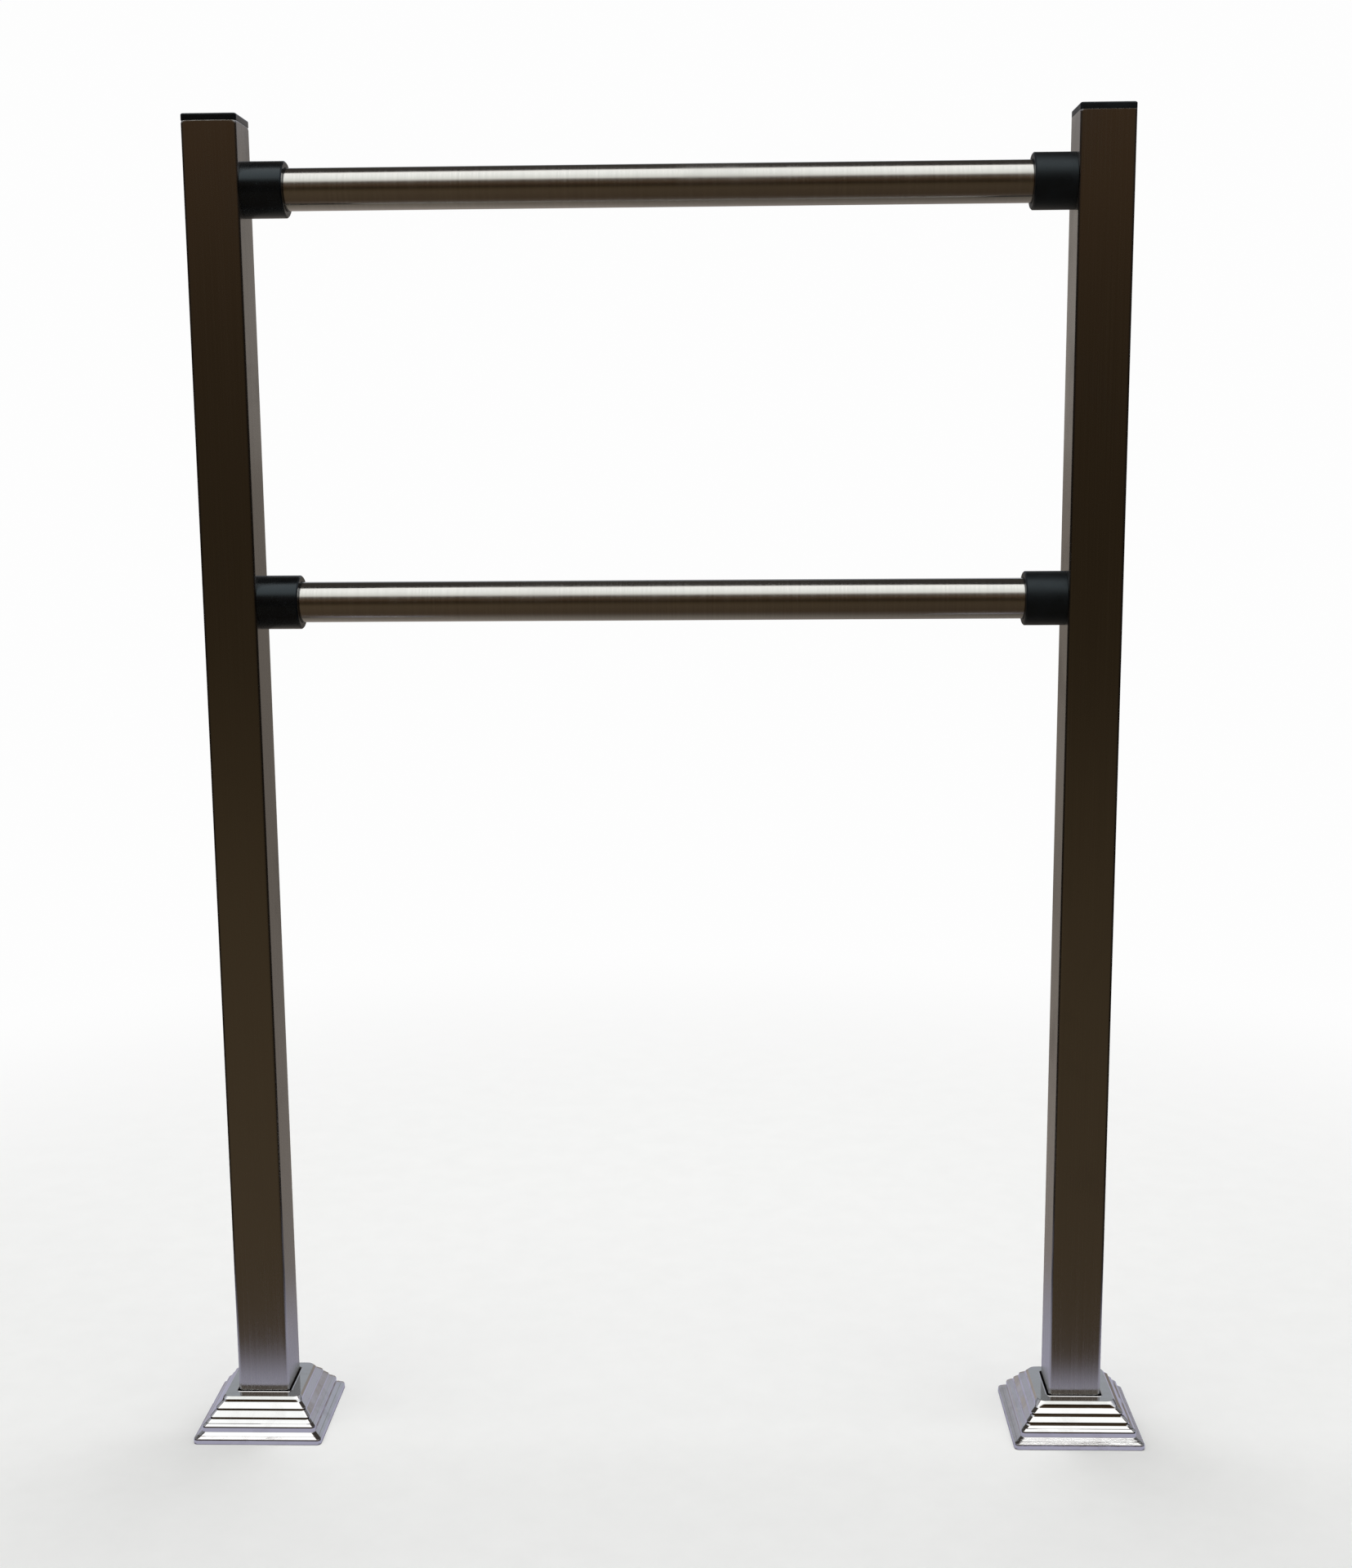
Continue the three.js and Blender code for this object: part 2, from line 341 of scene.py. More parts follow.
def new_material(name, preview):
    """A material with its Principled shader and object coordinates."""
    material, tree, coordinates = empty_material(name)
    material.diffuse_color = preview
    shader = tree.nodes.new("ShaderNodeBsdfPrincipled")
    add_node(tree, "ShaderNodeOutputMaterial", {"Surface": shader.outputs[0]})
    return material, tree, shader, coordinates


def show_mixed(tree, output_kind, factor, first, second):
    """The tree's output: the first shader where factor is 0, the second where it is 1."""
    shaders = {0: factor, 1: first.outputs[0], 2: second.outputs[0]}
    mixed = add_node(tree, "ShaderNodeMixShader", shaders)
    add_node(tree, output_kind, {"Surface": mixed.outputs[0]})


def wire(tree, shader, **sockets):
    """Links or sets the shader's sockets; names are given with underscores."""
    for key, value in sockets.items():
        socket = shader.inputs[key.replace("_", " ")]
        if isinstance(value, bpy.types.NodeSocket):
            tree.links.new(value, socket)
        else:
            socket.default_value = value


def square_distance(tree, coordinates):
    """How far out from a post's centre line, in squares round it."""
    axes = add_node(tree, "ShaderNodeSeparateXYZ", {0: coordinates}).outputs
    across = math_node(tree, "ABSOLUTE", axes["X"])
    across = math_node(tree, "SUBTRACT", across, POST_X)
    across = math_node(tree, "ABSOLUTE", across)
    return math_node(tree, "MAXIMUM", across, math_node(tree, "ABSOLUTE", axes["Y"]))


# ---- Materials ----
def make_brushed_steel(name, base, along, rough, spread, anisotropy, turn):
    """Stainless steel brushed along one axis, with handling marks and fine scratches.

    along is the stretch of the grain in each axis: small where the lines run."""
    material, tree, shader, at = new_material(name, (*base[:3], 1))
    fine = noise_value(tree, stretched(tree, at, [6500 * s for s in along]), 1, 3, 0.6)
    wide = noise_value(tree, stretched(tree, at, [900 * s for s in along]), 1, 3, 0.55)
    marks = noise_value(tree, at, 9, 5, 0.62, 0.4)
    smudge = remap(tree, marks, 0.5, 0.72, 0, 1, smooth=True)
    grain = math_node(tree, "ADD", math_node(tree, "MULTIPLY", fine, 0.6), wide)
    tint = blend_colour(
        tree,
        remap(tree, wide, 0.25, 0.75, 0, 1),
        [c * 0.93 for c in base[:3]] + [1],
        [min(1, c * 1.05) for c in base[:3]] + [1],
    )
    tint = blend_colour(
        tree, math_node(tree, "MULTIPLY", smudge, 0.35), tint, [c * 0.86 for c in base[:3]] + [1]
    )
    roughness = remap(tree, grain, 0.5, 1.1, rough - spread, rough + spread)
    roughness = math_node(tree, "ADD", roughness, math_node(tree, "MULTIPLY", smudge, 0.05))
    # Sparse hairline scratches that cross the grain at a shallow angle
    hair = noise_value(
        tree, stretched(tree, at, (60, 60, 2600), rotation=(0.35, 0.5, 0.2)), 1, 1, 0.4
    )
    hair = remap(tree, hair, 0.76, 0.8, 0, 1)
    height = math_node(tree, "SUBTRACT", grain, math_node(tree, "MULTIPLY", hair, 0.5))
    wire(
        tree,
        shader,
        Base_Color=tint,
        Metallic=1.0,
        Roughness=roughness,
        Anisotropic=anisotropy,
        Anisotropic_Rotation=turn,
        Normal=bump(tree, height, 0.000012, 0.22),
    )
    return material


def make_cover_metal():
    """Polished pressed sheet: faint wiping marks, drips and a duller film in the steps."""
    base = (0.74, 0.735, 0.75, 1)
    material, tree, shader, at = new_material("polished_cover", base)
    wiping = noise_value(tree, stretched(tree, at, (220, 2400, 2400)), 1, 3, 0.6)
    wiping_deep = noise_value(tree, stretched(tree, at, (2400, 220, 2400)), 1, 3, 0.6)
    haze = noise_value(tree, at, 42, 5, 0.6, 0.6)
    film = remap(tree, haze, 0.48, 0.7, 0, 1, smooth=True)
    tint = blend_colour(tree, math_node(tree, "MULTIPLY", film, 0.5), base, (0.62, 0.605, 0.61, 1))
    lines = math_node(tree, "ADD", wiping, wiping_deep)
    roughness = remap(tree, lines, 0.7, 1.3, 0.05, 0.11)
    roughness = math_node(tree, "ADD", roughness, math_node(tree, "MULTIPLY", film, 0.07))
    ripple = noise_value(tree, at, 120, 2, 0.5)
    wavy = bump(tree, ripple, 0.00012, 0.35)
    # Shoes have scuffed the lowest slopes, the right cover's most
    axes = add_node(tree, "ShaderNodeSeparateXYZ", {0: at}).outputs
    low = remap(tree, axes["Z"], 0.0085, 0.0065, 0, 1)
    trodden = math_node(tree, "MULTIPLY", low, remap(tree, axes["X"], -0.1, 0.1, 0.12, 1))
    scuffs = noise_value(tree, stretched(tree, at, (380, 900, 900)), 1, 4, 0.7)
    wavy = bump(tree, math_node(tree, "MULTIPLY", scuffs, trodden), 0.0004, 0.5, wavy)
    wire(
        tree,
        shader,
        Base_Color=tint,
        Metallic=1.0,
        Roughness=roughness,
        Normal=bump(tree, lines, 0.000006, 0.3, wavy),
    )
    return material


def make_plastic():
    """Moulded black plastic: fine matt grain, rubbed patches and a little dust."""
    material, tree, shader, at = new_material("black_plastic", (0.02, 0.02, 0.022, 1))
    grain = noise_value(tree, at, 3800, 2, 0.6)
    patches = noise_value(tree, at, 70, 4, 0.6)
    dust = remap(tree, noise_value(tree, at, 420, 5, 0.7), 0.56, 0.75, 0, 1, smooth=True)
    tint = blend_colour(
        tree,
        remap(tree, patches, 0.3, 0.7, 0, 1),
        (0.0012, 0.0014, 0.0018, 1),
        (0.0022, 0.0026, 0.0034, 1),
    )
    tint = blend_colour(tree, math_node(tree, "MULTIPLY", dust, 0.08), tint, (0.03, 0.032, 0.034, 1))
    roughness = remap(tree, patches, 0.3, 0.7, 0.21, 0.29)
    roughness = math_node(tree, "ADD", roughness, math_node(tree, "MULTIPLY", dust, 0.12))
    # The right-hand mouldings came out of the tool a little duller
    axes = add_node(tree, "ShaderNodeSeparateXYZ", {0: at}).outputs
    roughness = math_node(tree, "ADD", roughness, remap(tree, axes["X"], -0.1, 0.1, 0, 0.2))
    wire(
        tree,
        shader,
        Base_Color=tint,
        Roughness=roughness,
        IOR=1.52,
        Specular_Tint=(0.74, 0.89, 1.0, 1),
        Normal=bump(tree, grain, 0.00003, 0.35),
    )
    return material


def make_plate_steel():
    """Pickled plate, mottled, with heat colours round the weld."""
    material, tree, shader, at = new_material("plate_steel", (0.5, 0.49, 0.47, 1))
    far = square_distance(tree, at)
    wobble = noise_value(tree, at, 160, 3, 0.6)
    reach = math_node(tree, "ADD", far, math_node(tree, "MULTIPLY", wobble, 0.004))
    heat = ramp(
        tree,
        remap(tree, reach, 0.022, 0.04, 0, 1),
        [
            (0.0, (0.20, 0.17, 0.16, 1)),
            (0.28, (0.24, 0.24, 0.36, 1)),
            (0.42, (0.40, 0.26, 0.22, 1)),
            (0.58, (0.56, 0.44, 0.26, 1)),
            (0.8, (0.53, 0.50, 0.45, 1)),
            (1.0, (0.52, 0.51, 0.49, 1)),
        ],
    )
    mottle = noise_value(tree, at, 300, 6, 0.65, 0.3)
    tint = blend_colour(tree, remap(tree, mottle, 0.35, 0.7, 0, 0.35), heat, (0.33, 0.32, 0.30, 1))
    wire(
        tree,
        shader,
        Base_Color=tint,
        Metallic=1.0,
        Roughness=remap(tree, mottle, 0.3, 0.7, 0.36, 0.58),
        Normal=bump(tree, mottle, 0.00004, 0.5),
    )
    return material


def make_weld_metal():
    """Weld bead: brushed bright on its crests, straw and grey oxide between."""
    material, tree, shader, at = new_material("weld_metal", (0.42, 0.38, 0.34, 1))
    mottle = noise_value(tree, at, 420, 5, 0.6, 0.5)
    oxide = ramp(
        tree,
        mottle,
        [
            (0.3, (0.24, 0.2, 0.19, 1)),
            (0.45, (0.42, 0.33, 0.24, 1)),
            (0.6, (0.5, 0.46, 0.42, 1)),
            (0.75, (0.56, 0.54, 0.52, 1)),
        ],
    )
    wire(
        tree,
        shader,
        Base_Color=oxide,
        Metallic=1.0,
        Roughness=remap(tree, mottle, 0.3, 0.7, 0.5, 0.3),
        Normal=bump(tree, noise_value(tree, at, 1500, 3, 0.6), 0.00004, 0.5),
    )
    return material


def make_zinc():
    """Zinc-plated screws: bluish bright coat with a cloudy bloom."""
    material, tree, shader, at = new_material("zinc_plating", (0.7, 0.72, 0.76, 1))
    bloom = noise_value(tree, at, 900, 4, 0.6, 0.4)
    tint = blend_colour(
        tree, remap(tree, bloom, 0.35, 0.7, 0, 1), (0.62, 0.66, 0.72, 1), (0.72, 0.7, 0.64, 1)
    )
    wire(
        tree,
        shader,
        Base_Color=tint,
        Metallic=1.0,
        Roughness=remap(tree, bloom, 0.3, 0.7, 0.22, 0.42),
        Normal=bump(tree, bloom, 0.00003, 0.3),
    )
    return material


POST_TINT = (0.575, 0.565, 0.55, 1)
RAIL_TINT = (0.6, 0.59, 0.575, 1)
post_steel = make_brushed_steel("post_steel", POST_TINT, (1, 1, 0.006), 0.25, 0.04, 0.9, 0.0)
rail_steel = make_brushed_steel("rail_steel", RAIL_TINT, (1, 0.03, 0.03), 0.13, 0.03, 0.9, 0.25)
cover_metal = make_cover_metal()
plastic = make_plastic()
plate_steel = make_plate_steel()
weld_metal = make_weld_metal()
zinc = make_zinc()


# ---- Pieces ----
def worn_edge(x, y, side):
    """How much the file took off the post's top edge there, and how far down it dipped."""
    grain = 0.5 + noise.noise(Vector((x / 3, y / 3, 5)))
    if side == "left":
        corner = (min(abs(x), abs(y)) / POST_HALF) ** 6
        return 0.55 + 0.25 * grain + 1.5 * corner, corner
    corner = max(0, 1 - Vector((x + POST_HALF, y + POST_HALF)).length / 5)
    return 0.05 * grain + 1.2 * corner, 0.5 * corner


def make_post(side):
    low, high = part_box(f"{side}_post")
    bottom, top = low.z / MM, high.z / MM
    inner = POST_HALF - POST_WALL
    section = filleted(
        [
            (POST_HALF, bottom, SAWN_EDGE),
            (POST_HALF, top - CHAMFER_HIGH, 0),
            (POST_HALF, top, FILED_EDGE),
            (inner, top, SAWN_EDGE),
            (inner, bottom, SAWN_EDGE),
        ],
        closed=True,
    )
    rings = square_rings(
        section, lambda half, z: POST_CORNER - (POST_HALF - half), side_steps=POST_SIDE_STEPS
    )
    worn = []
    for ring, (half, z) in zip(rings, section):
        above = z - top + CHAMFER_HIGH
        outside = half > inner + 1
        share = max(0, above / CHAMFER_HIGH) if outside else 0
        filed = []
        for x, y, _ in ring:
            wear, dip = worn_edge(x, y, side)
            scale = 1 - CHAMFER_DEEP * share * wear / POST_HALF
            drop = CHAMFER_DIP * dip if outside and abs(above) < 0.01 else 0
            filed.append((x * scale, y * scale, z - drop))
        worn.append(filed)
    post = mesh_piece(f"{side}_post_tube", worn, closed=True)
    centre = (low.x + high.x) / 2
    place(post, centre, 0, 0)
    facing = 1 if side == "left" else -1
    tools = []
    for level in LEVELS:
        socket_low, socket_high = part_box(f"{level}_{side}_socket")
        rail_z = (socket_low.z + socket_high.z) / 2
        for sign in (-1, 1):
            wall_x = centre + facing * (POST_HALF - POST_WALL / 2) * MM
            at = (wall_x, 0, rail_z + sign * SCREW_OFFSET * MM)
            tools.append(drill(SCREW_HOLE, POST_WALL, "X", at))
    cut(post, tools)
    return finish_piece(post, post_steel, "frame", "post_steel", f"{side}_post")


def make_cap(side):
    low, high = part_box(f"{side}_post_cap")
    seat, top, bottom = post_high.z / MM, high.z / MM, low.z / MM
    fin_half = POST_HALF - POST_WALL - SOCKET_CLEARANCE
    stem = seat - bottom
    points = [
        (POST_HALF - 3 * CAP_ROUND, top, 0),
        (POST_HALF, top, CAP_ROUND),
        (POST_HALF, seat, CAP_SEAT),
        (STEM_HALF, seat, 0.3),
    ]
    for i in range(1, FIN_COUNT + 1):
        fin_top = seat - i * (stem - FIN_THICK) / FIN_COUNT
        points += [
            (STEM_HALF, fin_top, 0.2),
            (fin_half, fin_top, FIN_ROUND),
            (fin_half, fin_top - FIN_THICK, FIN_ROUND),
        ]
        if i < FIN_COUNT:
            points.append((STEM_HALF, fin_top - FIN_THICK, 0.2))
    points += [
        (STEM_HALF - STEM_WALL, bottom, 0.3),
        (STEM_HALF - STEM_WALL, seat + 2, 0),
    ]
    rings = square_rings(
        filleted(points, closed=False, steps=5),
        lambda half, z: max(POST_CORNER - (POST_HALF - half), 0.8),
    )
    cap = mesh_piece(f"{side}_cap", rings, closed=False)
    place(cap, (low.x + high.x) / 2, 0, 0)
    return finish_piece(cap, plastic, "frame", "black_plastic", f"{side}_post_cap")


def make_rail(level):
    low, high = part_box(f"{level}_rail")
    radius = (high.z - low.z) / 2 / MM
    section = filleted(
        [
            (radius, low.x / MM, RAIL_EDGE),
            (radius, high.x / MM, RAIL_EDGE),
            (radius - RAIL_WALL, high.x / MM, RAIL_EDGE),
            (radius - RAIL_WALL, low.x / MM, RAIL_EDGE),
        ],
        closed=True,
    )
    rail = mesh_piece(f"{level}_rail_tube", round_rings(section, RAIL_SEGMENTS), closed=True)
    place(rail, 0, 0, (low.z + high.z) / 2)
    return finish_piece(rail, rail_steel, "frame", "rail_steel", f"{level}_rail")


def make_socket(level, side):
    low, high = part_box(f"{level}_{side}_socket")
    facing = 1 if side == "left" else -1
    back = low.x if side == "left" else high.x
    length = (high.x - low.x) / MM
    outer = (high.z - low.z) / 2 / MM
    rail_low, rail_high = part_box(f"{level}_rail")
    bore = (rail_high.z - rail_low.z) / 2 / MM + SOCKET_CLEARANCE
    section = filleted(
        [
            (outer - 1, -SOCKET_CLEARANCE, 0),
            (outer, -SOCKET_CLEARANCE, 0.2),
            (outer, length - SOCKET_MOUTH, 0.4),
            (outer - SOCKET_MOUTH, length, 0.3),
            (bore, length, 0.4),
            (bore, SOCKET_BASE, 0.6),
            (bore - 2, SOCKET_BASE, 0),
        ],
        closed=False,
    )
    socket = mesh_piece(
        f"{level}_{side}_cup",
        round_rings([(r, facing * x) for r, x in section], SOCKET_SEGMENTS),
        closed=False,
    )
    rail_z = (low.z + high.z) / 2
    place(socket, back, 0, rail_z)
    depth = SOCKET_BASE + SOCKET_CLEARANCE
    middle = back + facing * (depth / 2 - SOCKET_CLEARANCE) * MM
    tools = [
        drill(SCREW_HOLE, depth, "X", (middle, 0, rail_z + sign * SCREW_OFFSET * MM))
        for sign in (-1, 1)
    ]
    cut(socket, tools)
    node = f"{level}_{side}_socket"
    return finish_piece(socket, plastic, "frame", "black_plastic", node)


def make_plate(side):
    low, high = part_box(f"{side}_base_plate")
    half = (high.x - low.x) / 2 / MM
    bottom, top = low.z / MM, high.z / MM
    section = filleted(
        [
            (half - 3 * PLATE_EDGE, bottom, 0),
            (half, bottom, PLATE_EDGE),
            (half, top, PLATE_EDGE),
            (half - 3 * PLATE_EDGE, top, 0),
        ],
        closed=False,
    )
    rings = square_rings(section, lambda h, z: PLATE_CORNER - (half - h))
    plate = mesh_piece(f"{side}_plate", rings, closed=False)
    centre = (low.x + high.x) / 2
    place(plate, centre, 0, 0)
    out, middle = ANCHOR_PITCH / 2 * MM, (low.z + high.z) / 2
    tools = [
        drill(ANCHOR_HOLE, top - bottom, "Z", (centre + sx * out, sy * out, middle))
        for sx in (-1, 1)
        for sy in (-1, 1)
    ]
    cut(plate, tools)
    return finish_piece(plate, plate_steel, "frame", "plate_steel", f"{side}_base_plate")


def make_weld(side):
    low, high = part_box(f"{side}_foot_weld")
    outer = (high.x - low.x) / 2 / MM
    bottom, top = low.z / MM, high.z / MM
    inner = outer - WELD_LEG
    section = [(inner, bottom), (outer, bottom)]
    for i in range(1, WELD_RISE_STEPS):
        t = i / WELD_RISE_STEPS
        swell = WELD_BULGE * math.sin(math.pi * t)
        half = outer + (inner + WELD_TOE - outer) * t + swell
        section.append((min(half, outer), bottom + (top - bottom) * t + swell * 0.3))
    section += [(inner + WELD_TOE, top), (inner, top)]
    section = [(half, min(z, top)) for half, z in section]
    rings = square_rings(
        section,
        lambda half, z: POST_CORNER + half - POST_HALF,
        WELD_CORNER_STEPS,
        WELD_SIDE_STEPS,
    )
    rippled = []
    for ring, (half, z) in zip(rings, section):
        raised = 0 if half <= inner + 0.01 or z <= bottom + 0.01 else 1
        travelled, previous, out = 0.0, ring[0], []
        for point in ring:
            travelled += math.dist(point[:2], previous[:2])
            previous = point
            # Each ripple of the bead lags behind as it climbs the fillet
            phase = (travelled + WELD_LAG * (z - bottom)) / WELD_PITCH
            drop = WELD_RIPPLE * raised * abs(math.sin(math.pi * phase))
            scale = 1 - drop / max(half, 1)
            out.append((point[0] * scale, point[1] * scale, point[2]))
        rippled.append(out)
    weld = mesh_piece(f"{side}_weld_bead", rippled, closed=True)
    place(weld, (low.x + high.x) / 2, 0, 0)
    return finish_piece(weld, weld_metal, "frame", "weld_steel", f"{side}_foot_weld")


def crease(start, end):
    """The faint pressed line across a slope: two points of the section."""
    along = (end - start).normalized()
    at = start + CREASE_AT * (end - start)
    first = at - along * CREASE_WIDTH / 2
    last = at + along * CREASE_WIDTH / 2 - Vector((along.y, -along.x)) * CREASE_DEPTH
    return [(*first, 0.12), (*last, 0.12)]


def cover_face(inset, nose, foot_round, cove):
    """Corner points of one face of the cover, from the foot up to the opening.

    inset is 0 on the outside, and the wall's thickness on the inside."""
    points, foot = [], 0
    feet = [half + lean / 2 for half, _, lean, _ in COVER_STEPS[1:]] + [PLATEAU_HALF]
    for (half, riser_top, lean, slope_top), next_half in zip(COVER_STEPS, feet):
        upright = lean == 0
        points.append((half - inset + lean / 2, foot, foot_round if foot else 0.2))
        if upright and inset == 0:
            points.append((half, riser_top - EDGE_HIGH, EDGE_HIGH))
            points.append((half - EDGE_DEEP, riser_top, nose / 2))
            start = Vector((half - EDGE_DEEP, riser_top))
            points += crease(start, Vector((next_half, slope_top)))
        else:
            points.append((half - inset - lean / 2, riser_top - inset, nose))
        if cove and foot and next_half != PLATEAU_HALF:
            points.append((next_half - inset + cove / 2, slope_top - cove - inset, cove / 2))
        foot = slope_top - inset
    points.append((PLATEAU_HALF - inset, foot, 0.4))
    if inset == 0:
        points.append((OPENING_HALF + 2 * LIP_WIDE, foot, 0.2))
        points.append((OPENING_HALF + LIP_WIDE, COVER_TOP, 0.15))
    points.append((OPENING_HALF, COVER_TOP - inset, 0.15))
    return points


def make_cover(side):
    waviness, seed, nose, foot_round, cove, top_corner = COVER_LOOKS[side]
    low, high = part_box(f"{side}_base_cover")
    outside = cover_face(0, nose, foot_round, cove)
    inside = cover_face(COVER_WALL, nose, foot_round, cove)
    section = filleted([*outside, *inside[::-1]], closed=True)
    last_riser_foot, last_riser_top = COVER_STEPS[-2][3], COVER_STEPS[-1][1]

    def corner_at(half, z):
        rise = min(max((z - last_riser_foot) / (last_riser_top - last_riser_foot), 0), 1)
        outer = COVER_CORNER + (top_corner - COVER_CORNER) * rise
        blend = min(max((half - OPENING_HALF) / 3, 0), 1)
        return OPENING_CORNER + (outer - OPENING_CORNER) * blend

    rings = square_rings(section, corner_at, side_steps=COVER_SIDE_STEPS)
    dented = []
    for ring in rings:
        out = []
        for x, y, z in ring:
            at = Vector((x, y, 2 * z)) / DENT_SPAN + Vector((seed, 0, 0))
            push = waviness * (noise.noise(at) + 0.5 * noise.noise(at * FINE_DENTS))
            outermost = max(abs(x), abs(y)) > COVER_STEPS[0][0] - 2 * COVER_WALL
            if outermost:
                push = -abs(push)
            grown = min(z / FLAT_FOOT, 1)
            scale = 1 + push * grown / COVER_STEPS[0][0]
            level = z > COVER_TOP - LEVEL_BAND or z < LEVEL_BAND
            lift = 0 if level else DENT_LIFT * push
            out.append((x * scale, y * scale, z + lift * grown))
        dented.append(out)
    cover = mesh_piece(f"{side}_cover", dented, closed=True)
    place(cover, (low.x + high.x) / 2, 0, low.z)
    return finish_piece(cover, cover_metal, f"{side}_cover", "cover_chrome", f"{side}_base_cover")


for level in LEVELS:
    make_rail(level)
for side in SIDES:
    make_post(side)
    make_cap(side)
    make_plate(side)
    make_weld(side)
    for level in LEVELS:
        make_socket(level, side)
        for place_name in ("top", "bottom"):
            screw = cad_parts[f"{level}_{side}_socket_screw_{place_name}"]
            screw.data.materials.clear()
            screw.data.materials.append(zinc)
for side in SIDES:
    make_cover(side)

# ---- Camera ----
CAMERA_AT = (0.05271, -1.47245, 0.75710)
CAMERA_YAW, CAMERA_PITCH, CAMERA_ROLL = 0.02886, -0.16473, 0.00766
CAMERA_LENS, CAMERA_SENSOR = 45.35, 36.0

camera_data = bpy.data.cameras.new("camera")
camera_data.lens = CAMERA_LENS
camera_data.sensor_width = CAMERA_SENSOR
camera_data.clip_start = 0.05
camera_data.clip_end = 60
camera = bpy.data.objects.new("camera", camera_data)
bpy.context.scene.collection.objects.link(camera)
turn = (
    Matrix.Rotation(CAMERA_YAW, 3, "Z")
    @ Matrix.Rotation(CAMERA_PITCH, 3, "X")
    @ Matrix.Rotation(CAMERA_ROLL, 3, "Y")
    @ Matrix.Rotation(math.pi / 2, 3, "X")
)
camera.rotation_mode = "QUATERNION"
camera.rotation_quaternion = turn.to_quaternion()
camera.location = CAMERA_AT
bpy.context.scene.camera = camera

# ---- Studio ----
BACKGROUND = (0.985, 0.985, 0.985, 1)
ROOM_GAIN = 1.72

# What stands round the object, seen as it looks in steel, by the angle in
# degrees from straight ahead of the posts, up over the top and down behind
ROOM = (
    (-180, (102, 96, 90)),
    (-168, (99, 93, 87)),
    (-159, (113, 107, 102)),
    (-100, (81, 76, 69)),
    (-84, (70, 62, 55)),
    (-70, (58, 48, 37)),
    (-24, (64, 54, 41)),
    (-14, (58, 48, 34)),
    (-5, (37, 29, 18)),
    (4, (40, 31, 20)),
    (10, (54, 40, 26)),
    (20, (64, 53, 42)),
    (31, (66, 58, 49)),
    (35, (150, 147, 142)),
    (39, (197, 197, 192)),
    (46, (212, 214, 209)),
    (62, (227, 229, 226)),
    (80, (236, 237, 234)),
    (89, (250, 248, 245)),
    (91.5, (108, 105, 101)),
    (96, (46, 43, 40)),
    (145, (50, 47, 44)),
    (151, (118, 122, 119)),
    (157, (138, 141, 150)),
    (168.5, (134, 134, 141)),
    (170.5, (117, 112, 107)),
)
# The same for what stands to either side, by height from straight down to up
ROOM_SIDE = (
    (0.0, (62, 58, 54)),
    (0.27, (14, 11, 9)),
    (0.56, (14, 11, 9)),
    (0.62, (44, 36, 28)),
    (0.78, (150, 153, 160)),
    (1.0, (235, 236, 236)),
)
SIDE_LEAN = (0.45, 0.9)  # a direction's lean to X where the sides begin, and have taken over
SKYLINE = (0.165, 0.19)  # a direction's height at the top of what stands behind
RIGHT_DARKER, LEFT_BRIGHTER = 0.2, 0.3

FLOOR_HALF, FLOOR_SHADE, FLOOR_FADE = 14, 0.9, (0.55, 1.5)
# The glowing patch round the bases is a painted reflection of the pale ground
FLOOR_REFLECTION_GLOW = (0.44, 0.437, 0.545, 1)
NEAR_HALF, NEAR_LIFT = (1.0, 0.42), 0.0002
NEAR_EDGE = (0.08, 0.17)  # the patch fades out over this distance
NEAR_SIGHT = (0.25, 0.5)  # and, for what mirrors it, over this one
LAMP_AT, LAMP_SIZE, LAMP_POWER = (0, 0.45, 2.5), 1.1, 30


def make_world():
    world = bpy.data.worlds.new("studio")
    world.use_nodes = True
    bpy.context.scene.world = world
    tree = world.node_tree
    tree.nodes.clear()
    direction = tree.nodes.new("ShaderNodeTexCoord").outputs["Generated"]
    axes = add_node(tree, "ShaderNodeSeparateXYZ", {0: direction}).outputs
    ahead = math_node(tree, "MULTIPLY", axes["Y"], -1)
    angle = math_node(tree, "ARCTAN2", axes["Z"], ahead)
    share = remap(tree, angle, -math.pi, math.pi, 0, 1)
    stops = [((a + 180) / 360, linear(colour)) for a, colour in ROOM]
    room = ramp(tree, share, stops)
    height = remap(tree, axes["Z"], -1, 1, 0, 1)
    sides = ramp(tree, height, [(p, linear(colour)) for p, colour in ROOM_SIDE])
    across = math_node(tree, "ABSOLUTE", axes["X"])
    lean = remap(tree, across, *SIDE_LEAN, 0, 1, smooth=True)
    seen = blend_colour(tree, lean, room, sides)
    # Low down ahead it is darker to the right, and behind it is brighter to the left,
    # up to the top of what stands there
    behind = remap(tree, axes["Y"], -0.2, 0.2, 0, 1)
    low = math_node(tree, "SUBTRACT", 1, behind)
    low = math_node(tree, "MULTIPLY", low, remap(tree, axes["Z"], 0.1, -0.1, 0, 1))
    rightward = remap(tree, axes["X"], -0.2, 0.2, 0, RIGHT_DARKER)
    darker = math_node(tree, "MULTIPLY", low, rightward)
    leftward = remap(tree, axes["X"], 0.1, -0.15, 0, LEFT_BRIGHTER)
    brighter = math_node(tree, "MULTIPLY", remap(tree, axes["Z"], *SKYLINE, 1, 0), leftward)
    brighter = math_node(tree, "MULTIPLY", behind, brighter)
    gain = math_node(tree, "ADD", math_node(tree, "SUBTRACT", brighter, darker), 1)
    gain = math_node(tree, "MULTIPLY", gain, ROOM_GAIN)
    around = add_node(tree, "ShaderNodeBackground", {"Color": seen, "Strength": gain})
    backdrop = add_node(tree, "ShaderNodeBackground", {"Color": BACKGROUND, "Strength": 1.0})
    path = tree.nodes.new("ShaderNodeLightPath")
    show_mixed(tree, "ShaderNodeOutputWorld", path.outputs["Is Camera Ray"], around, backdrop)


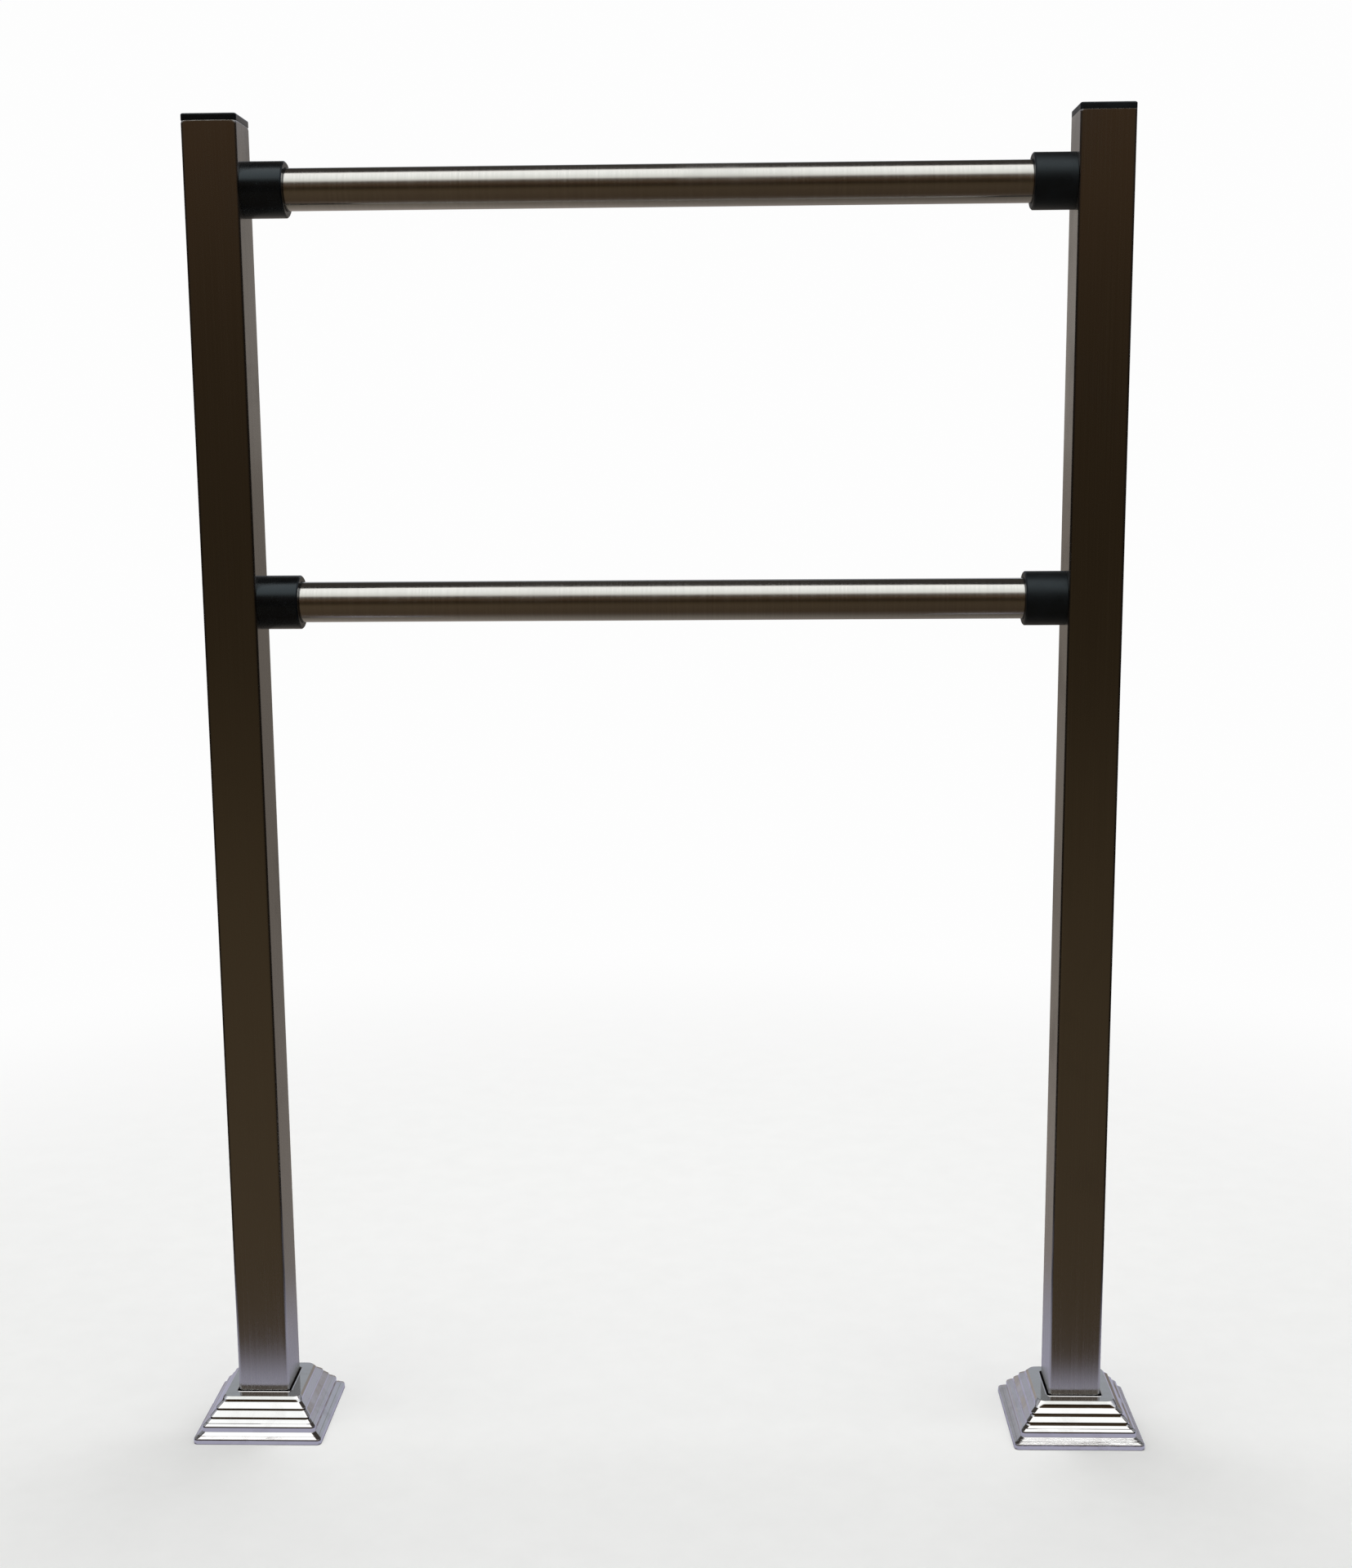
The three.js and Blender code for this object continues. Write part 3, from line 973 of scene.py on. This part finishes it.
def make_plane(name, half_x, half_y, height):
    mesh = bpy.data.meshes.new(name)
    signs = ((-1, -1), (1, -1), (1, 1), (-1, 1))
    corners = [(sx * half_x, sy * half_y, height) for sx, sy in signs]
    mesh.from_pydata(corners, [], [(0, 1, 2, 3)])
    plane = bpy.data.objects.new(name, mesh)
    bpy.context.scene.collection.objects.link(plane)
    return plane


def make_floor():
    floor = make_plane("floor", FLOOR_HALF, FLOOR_HALF, 0)
    floor.visible_glossy = False
    material, tree, at = empty_material("studio_floor")
    speckle = remap(tree, noise_value(tree, at, 30, 4, 0.6), 0.3, 0.7, 0, 1)
    dark, light = ((*[shade] * 3, 1) for shade in (FLOOR_SHADE, FLOOR_SHADE + 0.02))
    tint = blend_colour(tree, speckle, dark, light)
    diffuse = add_node(tree, "ShaderNodeBsdfDiffuse", {"Color": tint})
    glow = add_node(tree, "ShaderNodeEmission", {"Color": BACKGROUND, "Strength": 1.0})
    distance = add_node(tree, "ShaderNodeVectorMath", {0: at}, operation="LENGTH")
    fade = remap(tree, distance.outputs["Value"], *FLOOR_FADE, 0, 1, smooth=True)
    show_mixed(tree, "ShaderNodeOutputMaterial", fade, diffuse, glow)
    floor.data.materials.append(material)


def make_floor_reflection_glow():
    """Painted reflection: a glowing patch, unseen by the camera, for the pale ground close round the
    bases as the polished metal mirrors it.
    """
    patch = make_plane("glowing_floor_reflection", *NEAR_HALF, NEAR_LIFT)
    patch.visible_camera = False
    patch.visible_diffuse = False
    patch.visible_shadow = False
    material, tree, at = empty_material("glowing_floor_reflection")
    far = square_distance(tree, at)
    axes = add_node(tree, "ShaderNodeSeparateXYZ", {0: at}).outputs
    across = math_node(tree, "SUBTRACT", math_node(tree, "ABSOLUTE", axes["X"]), POST_X)
    across = math_node(tree, "ABSOLUTE", across)
    # In front it reaches least, less still at the right; at the sides and behind it
    # reaches further, but not straight behind a post nor as far at the left
    ahead = math_node(tree, "MULTIPLY", axes["Y"], -1)
    ahead = math_node(tree, "ADD", ahead, remap(tree, axes["X"], -0.1, 0.1, 0, 0.018))
    behind = math_node(tree, "MULTIPLY", axes["Y"], 0.55)
    behind = math_node(tree, "ADD", behind, remap(tree, across, 0, 0.1, 0.08, 0))
    behind = math_node(tree, "ADD", behind, remap(tree, axes["X"], -0.1, 0.1, 0.02, -0.01))
    deep = math_node(tree, "MAXIMUM", ahead, behind)
    reach = math_node(tree, "MAXIMUM", math_node(tree, "MULTIPLY", across, 0.5), deep)
    edge = remap(tree, reach, *NEAR_EDGE, 0, 1, smooth=True)
    path = tree.nodes.new("ShaderNodeLightPath")
    gone = remap(tree, path.outputs["Ray Length"], *NEAR_SIGHT, 0, 1)
    fade = math_node(tree, "MAXIMUM", edge, gone)
    # Painted shade: under a cover the patch doesn't glow
    half = COVER_STEPS[0][0] * MM
    strength = remap(tree, far, half - 0.001, half + 0.001, 0, 1)
    glow = add_node(tree, "ShaderNodeEmission", {"Color": FLOOR_REFLECTION_GLOW, "Strength": strength})
    clear = tree.nodes.new("ShaderNodeBsdfTransparent")
    show_mixed(tree, "ShaderNodeOutputMaterial", fade, glow, clear)
    patch.data.materials.append(material)


def make_lamp():
    """A soft disc overhead that faces the floor's middle and isn't mirrored."""
    lamp = bpy.data.lights.new("key_lamp", "AREA")
    lamp.shape = "DISK"
    lamp.size = LAMP_SIZE
    lamp.energy = LAMP_POWER
    holder = bpy.data.objects.new("key_lamp", lamp)
    bpy.context.scene.collection.objects.link(holder)
    holder.location = LAMP_AT
    holder.rotation_mode = "QUATERNION"
    holder.rotation_quaternion = (-Vector(LAMP_AT)).to_track_quat("-Z", "Y")
    holder.visible_glossy = False


make_world()
make_floor()
make_floor_reflection_glow()
make_lamp()

bpy.context.scene.view_settings.view_transform = "Standard"
bpy.context.scene.view_settings.look = "None"
